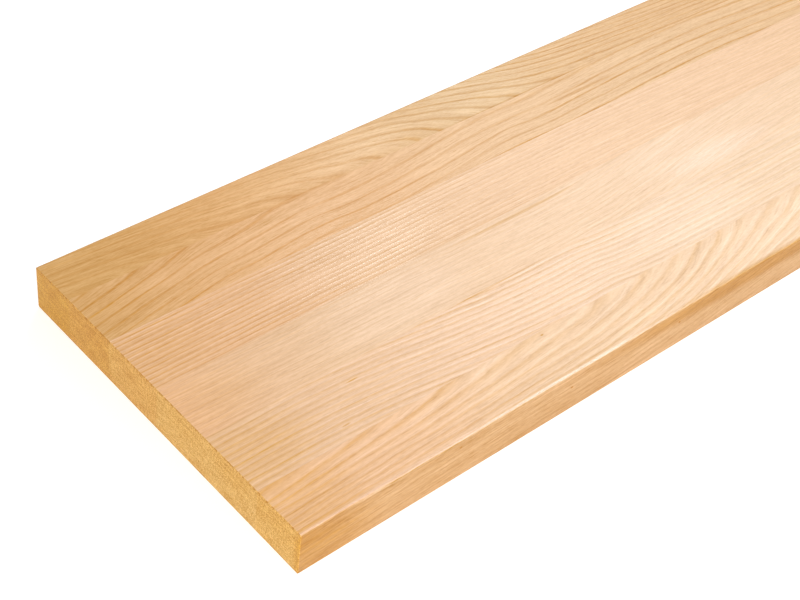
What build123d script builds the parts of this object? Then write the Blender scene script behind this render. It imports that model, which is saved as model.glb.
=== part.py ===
"""Hardwood stair tread: a solid timber step board, edge-glued from six full-length staves.

The tread lies flat as it would on its strings. X runs along its length, Y from the front
(nosing) edge to the back edge, and Z up to the walking surface. The origin is the centre
of the underside. All sizes are in millimetres.

The six staves are ripped from plain-sawn and quarter-sawn boards, planed, glued edge to
edge and sanded flush, so they share one pair of flat faces. Only the four long arrises
of the finished board are rounded by the sander. The ends are square saw cuts, and their
arrises are barely broken.
"""

import os

from build123d import *

# The finished tread
LENGTH = 1000.0
WIDTH = 300.0
THICKNESS = 38.0

# Widths of the staves, from the front edge to the back edge
FRONT_STAVE_WIDTH = 44.0
INNER_STAVE_WIDTHS = (55.0, 54.0, 55.0, 50.0)
BACK_STAVE_WIDTH = WIDTH - FRONT_STAVE_WIDTH - sum(INNER_STAVE_WIDTHS)

# Edge work
LONG_ARRIS_RADIUS = 1.5
END_ARRIS_CHAMFER = 0.4


def finished_board():
    """The whole tread as one sanded board, before it is told apart into staves."""
    blank = Box(LENGTH, WIDTH, THICKNESS, align=(Align.CENTER, Align.CENTER, Align.MIN))
    long_arrises = blank.edges().filter_by(Axis.X)
    eased = fillet(long_arrises, LONG_ARRIS_RADIUS)
    end_faces = eased.faces().filter_by(Axis.X)
    end_arrises = [edge for face in end_faces for edge in face.edges()]
    return chamfer(end_arrises, END_ARRIS_CHAMFER)


def stave_widths():
    """Each stave's name and width, from the front edge to the back edge."""
    widths = {"front_stave": FRONT_STAVE_WIDTH}
    for number, width in enumerate(INNER_STAVE_WIDTHS, start=1):
        widths[f"inner_stave_{number}"] = width
    widths["back_stave"] = BACK_STAVE_WIDTH
    return widths


def ripped_stave(board, front_y, width):
    """The slice of the board between two glue lines, both square to the faces."""
    slice_box = Box(
        2 * LENGTH,
        width,
        2 * THICKNESS,
        align=(Align.CENTER, Align.MIN, Align.CENTER),
    )
    return board & Pos(0, front_y, 0) * slice_box


os.makedirs("parts", exist_ok=True)

tread = finished_board()
front_y = -WIDTH / 2
for name, width in stave_widths().items():
    stave = ripped_stave(tread, front_y, width)
    export_step(stave, f"parts/{name}.step")
    front_y += width
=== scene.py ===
"""Looks of the hardwood stair tread: six edge-glued staves, sanded, on a white studio floor.

Lengths are in metres, in the tread's own frame: X along the board from the left end to the
right, Y from the front edge to the back edge, and Z up from the underside.

Wood is measured as a joiner would, in millimetres from the left end, the front edge and the
underside. STAVES says how each stave looks, mostly as values at places along the board:

tone        linear colour of the stave as a whole
warmth      how much the red of its walking face is raised
pith_side   how far from the front edge the heart of its log lies
pith_depth  how far above the walking face the heart lies
runout      how far the rings have climbed out through the walking face
ring_width  width of one growth ring
band_width  share of a ring that its golden band of pores takes up
pale_line   how far the pale line at the end of each ring stands out
wander      how far the rings stray from round
contrast    how strongly the rings show
patches     golden stains, or pale ones where the depth is negative, broad zones that darken the
            left end and lighten the board further along, and a painted highlight along the
            front arris: middle, half size, depth
"""

import math

import bpy
from mathutils import Matrix, Vector


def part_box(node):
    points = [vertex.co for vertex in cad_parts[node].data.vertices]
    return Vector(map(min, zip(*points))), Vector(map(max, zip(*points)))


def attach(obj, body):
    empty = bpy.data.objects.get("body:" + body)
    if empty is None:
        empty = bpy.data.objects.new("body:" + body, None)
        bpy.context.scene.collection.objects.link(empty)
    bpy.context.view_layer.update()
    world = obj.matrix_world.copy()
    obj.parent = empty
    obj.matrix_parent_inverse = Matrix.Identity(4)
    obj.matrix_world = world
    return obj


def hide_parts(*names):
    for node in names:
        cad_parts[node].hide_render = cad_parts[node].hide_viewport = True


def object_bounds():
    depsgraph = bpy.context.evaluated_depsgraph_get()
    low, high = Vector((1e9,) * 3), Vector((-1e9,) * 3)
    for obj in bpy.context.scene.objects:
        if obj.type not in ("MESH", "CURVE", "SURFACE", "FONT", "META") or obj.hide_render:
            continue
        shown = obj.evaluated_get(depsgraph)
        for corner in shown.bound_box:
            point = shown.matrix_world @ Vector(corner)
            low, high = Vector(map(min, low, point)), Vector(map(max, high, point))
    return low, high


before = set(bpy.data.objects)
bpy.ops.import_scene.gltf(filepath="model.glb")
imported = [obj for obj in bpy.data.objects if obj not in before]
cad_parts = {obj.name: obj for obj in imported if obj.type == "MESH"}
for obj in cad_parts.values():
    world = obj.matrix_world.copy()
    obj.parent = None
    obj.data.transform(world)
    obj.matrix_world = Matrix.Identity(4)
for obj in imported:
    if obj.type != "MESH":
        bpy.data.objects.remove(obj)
cad_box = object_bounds()

MM = 0.001
BOARD_LOW, BOARD_HIGH = Vector(cad_box[0]), Vector(cad_box[1])
LEFT_END, FRONT_EDGE, UNDERSIDE = BOARD_LOW
RIGHT_END, BACK_EDGE, WALKING_FACE = BOARD_HIGH
THICKNESS = (WALKING_FACE - UNDERSIDE) / MM
NEARLY = 0.01 * MM
SMOOTH_ANGLE = math.radians(35)

# Edge work
LONG_ARRIS_RADIUS = 1.5 * MM
LONG_ARRIS_SEGMENTS = 8
END_ARRIS_CHAMFER = 0.4 * MM
END_ARRIS_SEGMENTS = 2

# Shape of the sawn ends, cut into squares that the saw has torn inward
END_ZONE = 0.5 * MM
END_SQUARE = 1.5 * MM
SAW_MARK_DEPTH = 0.10 * MM
SAW_MARK_SIZE = 2.4 * MM

# Photographer's view
VIEW_AZIMUTH = math.radians(45.95)
VIEW_DOWN = math.radians(42.3)
VIEW_ROLL = math.radians(7.41)
FOCAL_PIXELS = 1659.1
SENSOR_WIDTH = 36.0
IMAGE_WIDTH, IMAGE_HEIGHT = 800, 600
NEAR_CORNER = Vector((LEFT_END, FRONT_EDGE, WALKING_FACE))
NEAR_CORNER_PIXEL = (301.3, 535.9)
NEAR_CORNER_DEPTH = 1.0106

# Studio
FLOOR_SIZE = 12.0
FLOOR_WHITE = 0.9
FLOOR_GLOW = 0.3
ROOM_LIGHT = 0.45

# Gloss, and depth of the open pores and of the torn end grain
SATIN_ROUGHNESS = 0.36
BAND_ROUGHNESS = 0.22
SAWN_ROUGHNESS = 0.60
PORE_DEPTH = 0.03 * MM
SAW_TEAR_DEPTH = 0.12 * MM

# Red, green and blue steps from the tone of a stave to its palest and its darkest fibres
FIBRE_STEPS = (0.142, 0.118, 0.094)

# The same steps for the fuzz of a sawn end, as shares of its tone
FUZZ_SHARES = (0.30, 0.46, 0.90)

# Shares of red, green and blue that a golden band or stain keeps back
GOLDEN_CUT = (0.17, 0.34, 0.85)

# Tones of the sawn ends and the long edges, as shares of the stave's tone
END_TO_TONE = (1.05, 0.96, 0.48)
LONG_EDGE_TO_TONE = (0.84, 0.735, 0.53)

# How strongly rings and fibres show on ends and long edges, next to the walking face
END_RINGS = 0.25
LONG_EDGE_RINGS = 0.4
LONG_EDGE_FIBRES = 1.5

# How squarely a surface faces along the board to be an end, or across it to be a long edge
END_FACING = (0.55, 0.9)
LONG_EDGE_FACING = (0.6, 0.9)

# Growth rings: where the band is darkest and where the pale line lies, as shares of a ring
BAND_DARKEST = 0.14
LINE_START, LINE_PALEST = 0.64, 0.86

# Growth rings: waves that make them stray, and how their strength changes
RING_WAVE = (45, 13, 13)
RING_WAVE_HEIGHT = 4.0
RING_RUN = 60
RING_RUN_LEVELS = (0.3, 0.7)
WEAKEST_RUN, WEAKEST_RING = 0.55, 0.6

# Fibres: size along, across and up, and strength
LAYERED_FIBRES = (((22, 0.8, 0.8), 0.75), ((90, 2.0, 2.0), 0.55))
STRAIGHT_FIBRES = (((4, 0.9, 0.9), 0.50), ((260, 12, 12), 0.35))
STRAIGHT_SLOPE = -0.03
LAYER_THINNING = 0.02
OPEN_PORES = dict(size=(11, 0.4, 0.4), levels=(0.60, 0.78), strength=0.14, detail=0.0)
BAND_DASH = (7, 0.7, 0.7)
BAND_DASH_LEVELS = (0.3, 0.6, 0.6, 1.1)

# Sawn ends: fuzz, upright streaks and level streaks, then pores and the chipped upper rim
END_FUZZ = (((1, 0.6, 0.9), 2.8), ((1, 0.7, 7), 1.3), ((1, 16, 1.4), 1.2))
END_PORES = dict(size=(3, 0.9, 0.9), levels=(0.60, 0.74), strength=0.60, detail=0.0)
RIM_CHIPS = dict(size=(3, 2.4, 6), levels=(0.48, 0.64), strength=0.9, detail=1.0)
RIM_HEIGHTS = (THICKNESS - 3.0, THICKNESS - 0.6)

# Patches: how far out their full depth reaches, as a share of their half size
PATCH_CORE = 0.35

# Each stave is from another log: how far apart their fibres and the counts of their rings lie
LOG_DISTANCE = 211.0
LOG_RINGS = 37.0

# The six staves
# The broad patches near the left end of each stave darken the walking face there, and one of them
# the front face; the broad pale ones lighten the walking face further along.
STAVES = {
    "front_stave": dict(
        tone=(0.616, 0.386, 0.199),
        warmth=[(0, 1.06), (110, 1.06), (200, 1.015), (340, 1.0), (1000, 1.0)],
        pith_side=[(0, 50), (300, 50), (400, 55), (500, 58), (1000, 58)],
        pith_depth=[(0, 20), (100, 25), (200, 35), (300, 45), (350, 50), (400, 55), (450, 67),
                    (500, 72), (1000, 75)],
        runout=[(0, -9.2), (100, -3.2), (165, 0.8), (200, 3.0), (250, 5.2), (280, 6.3),
                (308, 8.2), (350, 11.6), (388, 15.6), (412, 19.4), (437, 23.4), (463, 27.4),
                (500, 31.5), (533, 35.5), (600, 42), (700, 47), (1000, 51)],
        ring_width=4.1, band_width=0.58, pale_line=0.4, wander=0.5,
        contrast=[(0, 0.70), (150, 0.66), (240, 0.52), (340, 0.42), (500, 0.42), (1000, 0.40)],
        patches=[((0, 22, 38), (75, 60, 30), 0.30),
                 ((134, 0, 31), (1.6, 3, 1.0), 1.2),
                 ((240, 0, 24), (1.6, 3, 1.2), 1.4),
                 ((352, 0, 25), (1.4, 3, 1.1), 1.4),
                 ((430, 0, 32), (220, 5, 12), 0.70),
                 ((0, 0, 14), (85, 8, 36), 0.55),
                 # A pale strip along the eased front arris of the walking face: a painted
                 # highlight, which also lowers the roughness there.
                 ((130, 0.6, 38), (330, 2.4, 2.2), -0.9),
                 ((247.6, 40.6, 38), (2, 0.9, 2), 0.9),
                 ((500, 22, 38), (110, 30, 30), -0.08)],
    ),
    "inner_stave_1": dict(
        tone=(0.612, 0.390, 0.216),
        warmth=[(0, 1.03), (260, 1.02), (400, 0.99), (1000, 0.99)],
        pith_side=[(0, 242), (100, 240.5), (130, 238), (180, 232), (250, 224.5), (300, 222),
                   (330, 221.5), (360, 218), (400, 215.5), (530, 213), (700, 212), (1000, 216)],
        pith_depth=[(0, 40), (1000, 40)],
        runout=[(0, 0), (1000, 0)],
        ring_width=4.9, band_width=0.56, pale_line=0.5, wander=0.5,
        contrast=[(0, 0.62), (220, 0.62), (420, 0.38), (1000, 0.34)],
        patches=[((260, 98.4, 38), (70, 0.9, 10), 0.5),
                 ((110.4, 84.4, 38), (7, 0.8, 2), 0.9),
                 ((81, 55, 38), (5, 0.8, 2), 0.8),
                 ((0, 71, 38), (85, 40, 30), 0.34),
                 ((190, 71, 38), (90, 40, 30), -0.08),
                 ((300, 71, 38), (90, 40, 30), -0.08),
                 ((430, 71, 38), (90, 40, 30), -0.12)],
    ),
    "inner_stave_2": dict(
        tone=(0.612, 0.386, 0.208),
        warmth=[(0, 1.08), (100, 1.015), (300, 1.0), (1000, 0.99)],
        pith_side=[(0, 423), (200, 420), (380, 418), (440, 423), (520, 433), (590, 439),
                   (700, 442), (1000, 440)],
        pith_depth=[(0, 20), (1000, 20)],
        runout=[(0, 0), (1000, 0)],
        ring_width=4.1, band_width=0.50, pale_line=0.4, wander=0.5,
        contrast=[(0, 0.26), (300, 0.22), (600, 0.20), (1000, 0.20)],
        patches=[((325, 147, 38), (85, 2.6, 12), 0.35),
                 ((525, 112, 38), (80, 13, 20), -0.20),
                 ((180, 126, 38), (90, 40, 30), -0.12),
                 ((0, 126, 38), (85, 40, 30), 0.22),
                 ((490, 126, 38), (75, 40, 30), -0.08)],
    ),
    "inner_stave_3": dict(
        tone=(0.594, 0.350, 0.166),
        warmth=[(0, 1.03), (100, 1.04), (200, 1.0), (300, 1.0), (1000, 1.0)],
        pith_side=[(0, -100), (200, -99), (450, -100), (600, -104), (700, -106), (1000, -104)],
        pith_depth=[(0, 10), (1000, 10)],
        runout=[(0, 0), (1000, 0)],
        ring_width=4.2, band_width=0.46, pale_line=0.9, wander=0.4,
        contrast=[(0, 0.85), (180, 0.72), (300, 0.34), (450, 0.28), (1000, 0.26)],
        patches=[((305, 153.6, 38), (95, 1.0, 10), 0.35),
                 ((190, 181, 38), (100, 40, 30), -0.16),
                 ((0, 181, 38), (80, 40, 30), 0.16)],
    ),
    "inner_stave_4": dict(
        tone=(0.560, 0.309, 0.109),
        warmth=[(0, 0.98), (100, 1.04), (260, 1.03), (340, 1.0), (1000, 1.0)],
        pith_side=[(0, 262), (100, 264), (190, 265), (240, 262), (300, 263.5), (390, 269),
                   (430, 267), (480, 268), (520, 269.5), (570, 271), (640, 271), (700, 268),
                   (800, 264), (1000, 268)],
        pith_depth=[(0, 6), (40, 8), (100, 14), (140, 18), (190, 20), (1000, 20)],
        runout=[(0, -30.4), (40, -21.9), (70, -15.2), (100, -8.5), (140, -4.6), (165, -1.8),
                (190, 0), (1000, 0)],
        ring_width=9.1, band_width=0.32, pale_line=0.1, wander=0.5,
        contrast=[(0, 1.05), (140, 1.15), (240, 0.82), (340, 0.58), (440, 0.80), (520, 1.1),
                  (1000, 0.90)],
        patches=[((490, 235, 38), (60, 2.4, 12), 0.45),
                 ((430, 208.6, 38), (140, 1.0, 10), 0.28),
                 ((0, 208.3, 22), (3, 0.7, 18), -1.0),
                 ((0, 233, 38), (60, 40, 30), 0.22),
                 ((150, 233, 38), (100, 40, 30), -0.22)],
    ),
    "back_stave": dict(
        tone=(0.532, 0.288, 0.072),
        warmth=[(0, 0.99), (60, 1.01), (140, 1.05), (200, 1.05), (280, 1.01), (340, 0.97),
                (420, 0.955), (500, 0.98), (1000, 0.985)],
        pith_side=[(0, 251), (1000, 251)],
        pith_depth=[(0, 30), (200, 40), (300, 48), (400, 46), (460, 32), (520, 18), (1000, 14)],
        runout=[(0, -6), (82, -0.4), (143, 4.7), (200, 9.8), (237, 14.8), (282, 19.9),
                (323, 24.9), (346, 29.9), (374, 34.9), (402, 39.9), (430, 44.7), (457, 48.2),
                (480, 49.8), (520, 50.6), (700, 51.4), (1000, 54)],
        ring_width=5.0, band_width=0.42, pale_line=0.1, wander=0.5,
        contrast=[(0, 0.66), (240, 0.54), (340, 0.76), (420, 1.0), (520, 1.1), (1000, 0.80)],
        patches=[((230, 281, 38), (130, 30, 30), -0.30),
                 ((205, 258.5, 38), (42, 1.1, 12), 0.45),
                 ((440, 258.6, 38), (120, 1.2, 12), 0.45),
                 ((30, 281, 38), (100, 30, 30), 0.12),
                 ((405, 281, 38), (85, 30, 30), -0.15)],
    ),
}

FLOAT, VECTOR = "NodeSocketFloat", "NodeSocketVector"


# Selecting

def clear_selection():
    bpy.ops.object.select_all(action="DESELECT")


def select_in_edit(stave, kind, wanted):
    """Open a stave for editing with only the wanted edges or faces selected.

    wanted is given the corner places of each edge or face.
    """
    bpy.ops.object.mode_set(mode="OBJECT")
    mesh = stave.data
    for parts in (mesh.vertices, mesh.edges, mesh.polygons):
        parts.foreach_set("select", [False] * len(parts))
    for part in (mesh.edges if kind == "EDGE" else mesh.polygons):
        part.select = wanted([mesh.vertices[v].co for v in part.vertices])
    bpy.ops.object.mode_set(mode="EDIT")
    bpy.ops.mesh.select_mode(type=kind)


def all_at(corners, axis, place):
    return all(abs(corner[axis] - place) < NEARLY for corner in corners)


# Nodes

def put(tree, socket, value):
    """Feed a socket from another socket, or set its own value."""
    if isinstance(value, bpy.types.NodeSocket):
        tree.links.new(value, socket)
    else:
        socket.default_value = value


def calc(tree, operation, *values):
    node = tree.nodes.new("ShaderNodeMath")
    node.operation = operation
    for socket, value in zip(node.inputs, values):
        put(tree, socket, value)
    return node.outputs["Value"]


def vector_calc(tree, operation, *values):
    node = tree.nodes.new("ShaderNodeVectorMath")
    node.operation = operation
    for socket, value in zip(node.inputs, values):
        put(tree, socket, value)
    return node.outputs["Vector"]


def split(tree, vector):
    node = tree.nodes.new("ShaderNodeSeparateXYZ")
    put(tree, node.inputs["Vector"], vector)
    return node.outputs["X"], node.outputs["Y"], node.outputs["Z"]


def join(tree, x, y, z):
    node = tree.nodes.new("ShaderNodeCombineXYZ")
    for socket, value in zip(node.inputs, (x, y, z)):
        put(tree, socket, value)
    return node.outputs["Vector"]


def ease(tree, value, low, high, to_low=0.0, to_high=1.0):
    """Smoothly carry a value from one range to another."""
    node = tree.nodes.new("ShaderNodeMapRange")
    node.interpolation_type = "SMOOTHSTEP"
    names = ("Value", "From Min", "From Max", "To Min", "To Max")
    for name, number in zip(names, (value, low, high, to_low, to_high)):
        put(tree, node.inputs[name], number)
    return node.outputs["Result"]


def fade(tree, value, mask, share):
    """Bring a value down or up to a share of itself where a mask is 1."""
    return calc(tree, "MULTIPLY", value, ease(tree, mask, 0.0, 1.0, 1.0, share))


def hump(tree, value, start, peak, finish):
    """Rise smoothly from a start to a peak, and fall again to a finish."""
    rise = ease(tree, value, start, peak)
    return calc(tree, "MULTIPLY", rise, ease(tree, value, peak, finish, 1.0, 0.0))


def noise(tree, vector, detail):
    node = tree.nodes.new("ShaderNodeTexNoise")
    put(tree, node.inputs["Vector"], vector)
    node.inputs["Scale"].default_value = 1.0
    node.inputs["Detail"].default_value = detail
    return node.outputs["Fac"]


def flecks(tree, place, size, detail=2.0):
    """Noise from 0 to 1, with flecks of a size along, across and up."""
    return noise(tree, vector_calc(tree, "DIVIDE", place, size), detail)


def add_flecks(tree, total, place, size, strength, detail=2.0):
    """Add flecks above and below zero to a total, whose mean stays the same."""
    swing = calc(tree, "SUBTRACT", flecks(tree, place, size, detail), 0.5)
    return calc(tree, "MULTIPLY_ADD", swing, strength, total)


def spots(tree, place, size, levels, strength, detail):
    """Separate spots, where the flecks pass a level."""
    return calc(tree, "MULTIPLY", ease(tree, flecks(tree, place, size, detail), *levels), strength)


def mix_colour(tree, factor, first, second):
    node = tree.nodes.new("ShaderNodeMix")
    node.data_type = "RGBA"
    fields = {"Factor_Float": factor, "A_Color": first, "B_Color": second}
    for socket in node.inputs:
        if socket.identifier in fields:
            put(tree, socket, fields[socket.identifier])
    return next(socket for socket in node.outputs if socket.identifier == "Result_Color")


def effect(name, inputs, outputs):
    """An empty node group with named sockets: its tree, what it is given, and what it gives."""
    tree = bpy.data.node_groups.new(name, "ShaderNodeTree")
    for socket_name, kind in inputs.items():
        tree.interface.new_socket(socket_name, in_out="INPUT", socket_type=kind)
    for socket_name, kind in outputs.items():
        tree.interface.new_socket(socket_name, in_out="OUTPUT", socket_type=kind)
    start = tree.nodes.new("NodeGroupInput")
    end = tree.nodes.new("NodeGroupOutput")
    return tree, start.outputs, end.inputs


def place_effect(tree, group, **values):
    """Put a node group into a material, with its inputs named in snake case."""
    node = tree.nodes.new("ShaderNodeGroup")
    node.node_tree = group
    for name, value in values.items():
        put(tree, node.inputs[name.replace("_", " ").capitalize()], value)
    return node.outputs


def along_board(tree, x, points):
    """A value that changes along the board, through given points."""
    node = tree.nodes.new("ShaderNodeFloatCurve")
    node.mapping.use_clip = False
    curve = node.mapping.curves[0]
    curve.points[0].location = points[0]
    curve.points[1].location = points[-1]
    for point in points[1:-1]:
        curve.points.new(*point)
    node.mapping.update()
    put(tree, node.inputs["Value"], x)
    return node.outputs["Value"]


# Effects of wood

def growth_rings():
    """Rings about a pith line, cut by the faces of the board wherever they meet them.

    Each ring starts with a dark band of open pores and ends in a thin pale line.
    """
    tree, given, out = effect(
        "Growth rings",
        {"Place": VECTOR, "Pith side": FLOAT, "Pith depth": FLOAT, "Runout": FLOAT,
         "Ring width": FLOAT, "Band width": FLOAT, "Wander": FLOAT, "Log": FLOAT},
        {"Radius": FLOAT, "Pore band": FLOAT, "Pale line": FLOAT})
    x, y, z = split(tree, given["Place"])
    sideways = calc(tree, "SUBTRACT", given["Pith side"], y)
    depth = calc(tree, "ADD", given["Pith depth"], calc(tree, "SUBTRACT", THICKNESS, z))
    squares = calc(tree, "MULTIPLY_ADD", depth, depth, calc(tree, "MULTIPLY", sideways, sideways))
    radius = calc(tree, "SUBTRACT", calc(tree, "SQRT", squares), given["Pith depth"])
    radius = calc(tree, "ADD", radius, given["Runout"])
    height = calc(tree, "MULTIPLY", given["Wander"], RING_WAVE_HEIGHT)
    radius = add_flecks(tree, radius, given["Place"], RING_WAVE, height, detail=3.0)
    count = calc(tree, "DIVIDE", radius, given["Ring width"])
    ring = calc(tree, "ADD", calc(tree, "FLOOR", count), given["Log"])
    within = calc(tree, "FRACT", count)
    band = hump(tree, within, 0.0, BAND_DARKEST, given["Band width"])
    line = hump(tree, within, LINE_START, LINE_PALEST, 1.0)
    chance = tree.nodes.new("ShaderNodeTexWhiteNoise")
    chance.noise_dimensions = "1D"
    put(tree, chance.inputs["W"], ring)
    run = noise(tree, join(tree, calc(tree, "DIVIDE", x, RING_RUN), ring, 0.0), detail=1.0)
    strength = calc(tree, "MULTIPLY", ease(tree, run, *RING_RUN_LEVELS, WEAKEST_RUN, 1.0),
                    ease(tree, chance.outputs["Value"], 0.0, 1.0, WEAKEST_RING, 1.0))
    put(tree, out["Radius"], radius)
    put(tree, out["Pore band"], calc(tree, "MULTIPLY", band, strength))
    put(tree, out["Pale line"], calc(tree, "MULTIPLY", line, strength))
    return tree


def wood_fibres():
    """Fine layers and open pores that follow the rings, fibres, and broken pore bands.

    Grain is the sum of all but the bands: above zero is darker wood, below it paler.
    """
    tree, given, out = effect(
        "Wood fibres", {"Place": VECTOR, "Radius": FLOAT, "Pore band": FLOAT},
        {"Grain": FLOAT, "Broken band": FLOAT})
    x, y, z = split(tree, given["Place"])
    straight = join(tree, x, y, calc(tree, "MULTIPLY_ADD", x, STRAIGHT_SLOPE, z))
    layered = join(tree, x, given["Radius"], calc(tree, "MULTIPLY", z, LAYER_THINNING))
    grain = spots(tree, layered, **OPEN_PORES)
    for path, fibres in ((layered, LAYERED_FIBRES), (straight, STRAIGHT_FIBRES)):
        for size, strength in fibres:
            grain = add_flecks(tree, grain, path, size, strength)
    dashes = ease(tree, flecks(tree, given["Place"], BAND_DASH, detail=1.0), *BAND_DASH_LEVELS)
    put(tree, out["Grain"], grain)
    put(tree, out["Broken band"], calc(tree, "MULTIPLY", given["Pore band"], dashes))
    return tree


def stain_and_highlight_patch():
    """A golden or pale patch with a soft edge. Used for stains, for broad zones, and for a painted
    highlight along the front arris.
    """
    tree, given, out = effect(
        "Stain and highlight patch", {"Place": VECTOR, "Middle": VECTOR, "Half size": VECTOR, "Depth": FLOAT},
        {"Golden": FLOAT})
    away = vector_calc(tree, "SUBTRACT", given["Place"], given["Middle"])
    length = tree.nodes.new("ShaderNodeVectorMath")
    length.operation = "LENGTH"
    put(tree, length.inputs[0], vector_calc(tree, "DIVIDE", away, given["Half size"]))
    stain = ease(tree, length.outputs["Value"], PATCH_CORE, 1.0, 1.0, 0.0)
    put(tree, out["Golden"], calc(tree, "MULTIPLY", stain, given["Depth"]))
    return tree


def sawn_end():
    """Where a face cuts across the fibres, and the fuzz, pores, streaks and chipped rim there."""
    tree, given, out = effect(
        "Sawn end", {"Place": VECTOR, "Facing": VECTOR}, {"End": FLOAT, "Fuzz": FLOAT})
    lengthwise, _, _ = split(tree, given["Facing"])
    put(tree, out["End"], ease(tree, calc(tree, "ABSOLUTE", lengthwise), *END_FACING))
    fuzz = spots(tree, given["Place"], **END_PORES)
    for size, strength in END_FUZZ:
        fuzz = add_flecks(tree, fuzz, given["Place"], size, strength)
    _, _, z = split(tree, given["Place"])
    chips = spots(tree, given["Place"], **RIM_CHIPS)
    chips = calc(tree, "MULTIPLY", ease(tree, z, *RIM_HEIGHTS), chips)
    put(tree, out["Fuzz"], calc(tree, "ADD", fuzz, chips))
    return tree


GROWTH_RINGS = growth_rings()
WOOD_FIBRES = wood_fibres()
STAIN_AND_HIGHLIGHT_PATCH = stain_and_highlight_patch()
SAWN_END = sawn_end()


def scaled(colour, factors):
    return [part * factor for part, factor in zip(colour, factors)]


def grained(tree, darkness, tone, steps):
    """A tone that runs from its palest fibres to its darkest."""
    palest = [part + step for part, step in zip(tone, steps)]
    darkest = [max(part - step, 0.0) for part, step in zip(tone, steps)]
    return mix_colour(tree, darkness, (*palest, 1.0), (*darkest, 1.0))


def golden_wood_and_highlight(tree, place, figure, rings, fibres, contrast):
    """Golden bands, stains and broad zones, above zero, and pale lines, stains and broad zones,
    below it, with a painted highlight along the front arris below zero too.
    """
    golden = calc(tree, "MULTIPLY_ADD", rings["Pale line"], -figure["pale_line"],
                  fibres["Broken band"])
    golden = calc(tree, "MULTIPLY", golden, contrast)
    for middle, half_size, depth in figure["patches"]:
        patch = place_effect(
            tree, STAIN_AND_HIGHLIGHT_PATCH, place=place, middle=middle, half_size=half_size, depth=depth)
        golden = calc(tree, "ADD", golden, patch["Golden"])
    return golden


def wood_colour(tree, tone, warmth, darkness, golden, long_edge, end):
    """Grained tones of the faces, edges and ends, less what golden wood keeps back, and lifted
    where the figure is pale and under the painted highlight of the front arris.
    """
    face = grained(tree, darkness, tone, FIBRE_STEPS)
    face = vector_calc(tree, "MULTIPLY", face, join(tree, warmth, 1.0, 1.0))
    edge = grained(tree, darkness, scaled(tone, LONG_EDGE_TO_TONE), FIBRE_STEPS)
    end_tone = scaled(tone, END_TO_TONE)
    sawn = grained(tree, darkness, end_tone, scaled(end_tone, FUZZ_SHARES))
    wood = mix_colour(tree, end, mix_colour(tree, long_edge, face, edge), sawn)
    left = vector_calc(tree, "MULTIPLY_ADD", golden, [-share for share in GOLDEN_CUT], (1, 1, 1))
    return vector_calc(tree, "MAXIMUM", vector_calc(tree, "MULTIPLY", wood, left), (0, 0, 0))


def stave_wood(name, figure, number):
    """Sanded hardwood with the growth rings, fibres and stains of one stave."""
    material = bpy.data.materials.new(name.replace("_", " ") + " wood")
    material.use_nodes = True
    tree = material.node_tree
    shader = tree.nodes["Principled BSDF"]
    where = tree.nodes.new("ShaderNodeTexCoord")
    place = vector_calc(tree, "SUBTRACT", where.outputs["Object"], BOARD_LOW)
    place = vector_calc(tree, "DIVIDE", place, (MM, MM, MM))
    x, _, _ = split(tree, place)
    _, across, _ = split(tree, where.outputs["Normal"])
    long_edge = ease(tree, calc(tree, "ABSOLUTE", across), *LONG_EDGE_FACING)
    sawn = place_effect(tree, SAWN_END, place=place, facing=where.outputs["Normal"])
    end = sawn["End"]

    rings = place_effect(
        tree, GROWTH_RINGS, place=place,
        pith_side=along_board(tree, x, figure["pith_side"]),
        pith_depth=along_board(tree, x, figure["pith_depth"]),
        runout=along_board(tree, x, figure["runout"]),
        ring_width=figure["ring_width"], band_width=figure["band_width"],
        wander=figure["wander"], log=LOG_RINGS * number)
    log_place = vector_calc(tree, "ADD", place, (0.0, 0.0, LOG_DISTANCE * number))
    fibres = place_effect(
        tree, WOOD_FIBRES, place=log_place, radius=rings["Radius"], pore_band=rings["Pore band"])

    contrast = along_board(tree, x, figure["contrast"])
    contrast = fade(tree, contrast, long_edge, LONG_EDGE_RINGS)
    contrast = fade(tree, contrast, end, END_RINGS)
    golden = golden_wood_and_highlight(tree, place, figure, rings, fibres, contrast)

    grain = fade(tree, fibres["Grain"], long_edge, LONG_EDGE_FIBRES)
    grain = calc(tree, "MULTIPLY", grain, calc(tree, "SUBTRACT", 1.0, end))
    darkness = calc(tree, "MULTIPLY_ADD", sawn["Fuzz"], end, grain)
    darkness = calc(tree, "ADD", darkness, 0.5)
    darkness.node.use_clamp = True

    warmth = along_board(tree, x, figure["warmth"])
    put(tree, shader.inputs["Base Color"],
        wood_colour(tree, figure["tone"], warmth, darkness, golden, long_edge, end))
    satin = calc(tree, "MULTIPLY_ADD", golden, BAND_ROUGHNESS, SATIN_ROUGHNESS)
    put(tree, shader.inputs["Roughness"], ease(tree, end, 0.0, 1.0, satin, SAWN_ROUGHNESS))
    bump = tree.nodes.new("ShaderNodeBump")
    bump.inputs["Distance"].default_value = SAW_TEAR_DEPTH
    height = calc(tree, "SUBTRACT", 1.0, calc(tree, "ADD", darkness, golden))
    relief = ease(tree, end, 0.0, 1.0, PORE_DEPTH / SAW_TEAR_DEPTH, 1.0)
    put(tree, bump.inputs["Height"], calc(tree, "MULTIPLY", height, relief))
    put(tree, shader.inputs["Normal"], bump.outputs["Normal"])
    return material


# Staves

def ease_long_arrises(stave, outer_edge):
    """Round the two arrises of a stave that lie on a long edge of the board."""
    def wanted(corners):
        return (all_at(corners, 1, outer_edge) and corners[0].z == corners[1].z
                and corners[0].x != corners[1].x)
    select_in_edit(stave, "EDGE", wanted)
    bpy.ops.mesh.bevel(offset=LONG_ARRIS_RADIUS, segments=LONG_ARRIS_SEGMENTS, affect="EDGES")


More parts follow.
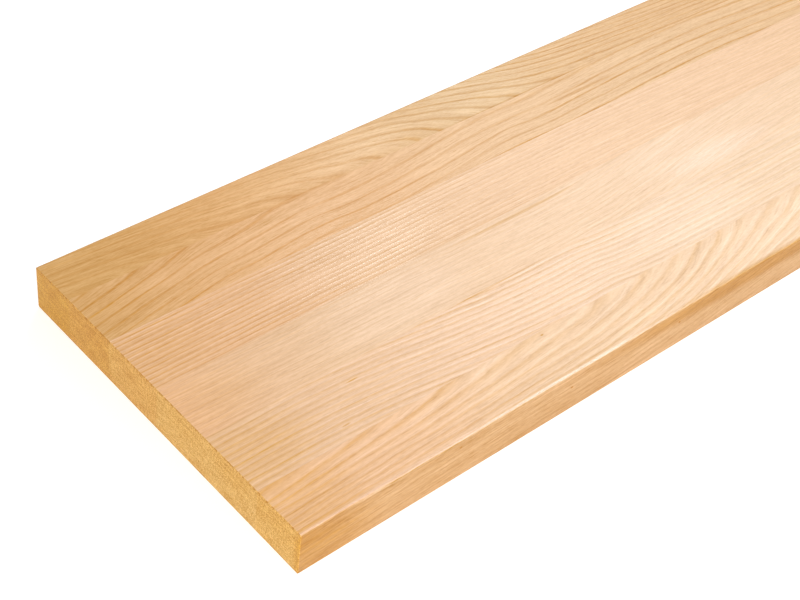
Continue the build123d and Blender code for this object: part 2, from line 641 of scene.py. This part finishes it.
def break_end_arrises(stave, glue_lines):
    """Take the sharpness off the arrises of both sawn ends, but not where staves meet."""
    def wanted(corners):
        at_end = all_at(corners, 0, LEFT_END) or all_at(corners, 0, RIGHT_END)
        return at_end and not any(all_at(corners, 1, line) for line in glue_lines)
    select_in_edit(stave, "EDGE", wanted)
    bpy.ops.mesh.bevel(offset=END_ARRIS_CHAMFER, segments=END_ARRIS_SEGMENTS, affect="EDGES")


def cut_end_squares(stave, axis, low, high):
    """Cut both sawn ends across one axis, into strips about one square wide."""
    def wanted(corners):
        return (all(corner[0] < LEFT_END + END_ZONE for corner in corners)
                or all(corner[0] > RIGHT_END - END_ZONE for corner in corners))
    count = round((high - low) / END_SQUARE)
    facing = [0, 0, 0]
    facing[axis] = 1
    for cut in range(1, count):
        place = [0, 0, 0]
        place[axis] = low + (high - low) * cut / count
        select_in_edit(stave, "FACE", wanted)
        bpy.ops.mesh.bisect(plane_co=place, plane_no=facing)


def tear_ends(stave):
    """Let the saw tear the end grain inward, with the rim of each end left whole."""
    bpy.ops.object.mode_set(mode="OBJECT")
    mesh = stave.data
    rim = set()
    for face in mesh.polygons:
        corners = [mesh.vertices[v].co for v in face.vertices]
        if not (all_at(corners, 0, LEFT_END) or all_at(corners, 0, RIGHT_END)):
            rim.update(face.vertices)
    torn = stave.vertex_groups.new(name="torn end grain")
    torn.add([v.index for v in mesh.vertices if v.index not in rim], 1.0, "REPLACE")
    marks = bpy.data.textures.new("saw marks", "CLOUDS")
    marks.noise_scale = SAW_MARK_SIZE
    bpy.ops.object.modifier_add(type="DISPLACE")
    tear = bpy.context.object.modifiers[-1]
    tear.vertex_group = torn.name
    tear.texture = marks
    tear.mid_level = 0.0
    tear.strength = -SAW_MARK_DEPTH
    bpy.ops.object.modifier_apply(modifier=tear.name)
    stave.vertex_groups.clear()


def add_stave(name):
    """One sanded stave, eased where it has a long edge of the board, square at its glue lines."""
    low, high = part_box(name)
    clear_selection()
    bpy.ops.mesh.primitive_cube_add(size=1.0, location=(low + high) / 2, scale=high - low)
    stave = bpy.context.object
    stave.name = name + "_sanded"
    bpy.ops.object.transform_apply(location=True, rotation=True, scale=True)
    sides = (low.y, high.y)
    outer_edges = [y for y in sides if min(abs(y - FRONT_EDGE), abs(y - BACK_EDGE)) < NEARLY]
    glue_lines = [y for y in sides if y not in outer_edges]
    for edge in outer_edges:
        ease_long_arrises(stave, edge)
    break_end_arrises(stave, glue_lines)
    cut_end_squares(stave, 2, low.z, high.z)
    cut_end_squares(stave, 1, low.y, high.y)
    tear_ends(stave)
    bpy.ops.object.shade_smooth_by_angle(angle=SMOOTH_ANGLE)
    bpy.ops.object.modifier_add(type="WEIGHTED_NORMAL")
    bpy.context.object.modifiers[-1].keep_sharp = True
    bpy.ops.object.modifier_apply(modifier=bpy.context.object.modifiers[-1].name)
    return stave


# Studio

def set_camera():
    ahead = Vector((math.cos(VIEW_DOWN) * math.sin(VIEW_AZIMUTH),
                    math.cos(VIEW_DOWN) * math.cos(VIEW_AZIMUTH), -math.sin(VIEW_DOWN)))
    level = ahead.cross(Vector((0, 0, 1))).normalized()
    upright = level.cross(ahead)
    right = math.cos(VIEW_ROLL) * level + math.sin(VIEW_ROLL) * upright
    up = math.cos(VIEW_ROLL) * upright - math.sin(VIEW_ROLL) * level
    across = (NEAR_CORNER_PIXEL[0] - IMAGE_WIDTH / 2) / FOCAL_PIXELS * NEAR_CORNER_DEPTH
    down = (NEAR_CORNER_PIXEL[1] - IMAGE_HEIGHT / 2) / FOCAL_PIXELS * NEAR_CORNER_DEPTH
    place = NEAR_CORNER - across * right + down * up - NEAR_CORNER_DEPTH * ahead
    data = bpy.data.cameras.new("studio camera")
    data.sensor_width = SENSOR_WIDTH
    data.lens = FOCAL_PIXELS / IMAGE_WIDTH * SENSOR_WIDTH
    camera = bpy.data.objects.new("studio camera", data)
    turn = Matrix((right, up, -ahead)).transposed()
    camera.matrix_world = Matrix.Translation(place) @ turn.to_4x4()
    bpy.context.collection.objects.link(camera)
    bpy.context.scene.camera = camera


def white_floor():
    clear_selection()
    bpy.ops.mesh.primitive_plane_add(size=FLOOR_SIZE, location=(0, 0, UNDERSIDE))
    floor = bpy.context.object
    floor.name = "studio_floor"
    bpy.ops.object.transform_apply(location=True, rotation=True, scale=True)
    material = bpy.data.materials.new("white studio floor")
    material.use_nodes = True
    tree = material.node_tree
    shader = tree.nodes["Principled BSDF"]
    shader.inputs["Base Color"].default_value = (FLOOR_WHITE, FLOOR_WHITE, FLOOR_WHITE, 1)
    shader.inputs["Roughness"].default_value = 1.0
    shader.inputs["Emission Color"].default_value = (1, 1, 1, 1)
    path = tree.nodes.new("ShaderNodeLightPath")
    glow = calc(tree, "MULTIPLY", path.outputs["Is Camera Ray"], FLOOR_GLOW)
    put(tree, shader.inputs["Emission Strength"], glow)
    floor.data.materials.append(material)


def room():
    """Plain even light from all round, seen as white by the camera and in reflections."""
    world = bpy.data.worlds.new("studio")
    bpy.context.scene.world = world
    world.use_nodes = True
    tree = world.node_tree
    sky = tree.nodes["Background"]
    sky.inputs["Color"].default_value = (1, 1, 1, 1)
    path = tree.nodes.new("ShaderNodeLightPath")
    seen = calc(tree, "MAXIMUM", path.outputs["Is Camera Ray"], path.outputs["Is Glossy Ray"])
    seen = calc(tree, "MAXIMUM", seen, path.outputs["Is Transmission Ray"])
    put(tree, sky.inputs["Strength"], ease(tree, seen, 0.0, 1.0, ROOM_LIGHT, 1.0))


def add_softbox(name, azimuth, height, distance, size, power):
    """A soft rectangular light that looks at the board, placed by compass and height angle."""
    azimuth, height = math.radians(azimuth), math.radians(height)
    toward = Vector((math.cos(height) * math.sin(azimuth),
                     math.cos(height) * math.cos(azimuth), math.sin(height)))
    data = bpy.data.lights.new(name, "AREA")
    data.shape = "RECTANGLE"
    data.size, data.size_y = size
    data.energy = power
    lamp = bpy.data.objects.new(name, data)
    turn = toward.to_track_quat("Z", "Y").to_matrix().to_4x4()
    lamp.matrix_world = Matrix.Translation(toward * distance) @ turn
    bpy.context.collection.objects.link(lamp)


set_camera()
white_floor()
room()
add_softbox("sheen softbox", azimuth=58.0, height=41.3, distance=4.0, size=(2.2, 0.8), power=61)
add_softbox("fill softbox", azimuth=226, height=25, distance=3.0, size=(3.6, 2.6), power=92)
add_softbox("edge softbox", azimuth=125, height=40, distance=3.0, size=(1.2, 1.2), power=36)

for number, (name, figure) in enumerate(STAVES.items(), start=1):
    stave = add_stave(name)
    stave.data.materials.append(stave_wood(name, figure, number))
    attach(stave, "root")
    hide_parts(name)

bpy.context.scene.view_settings.view_transform = "Standard"
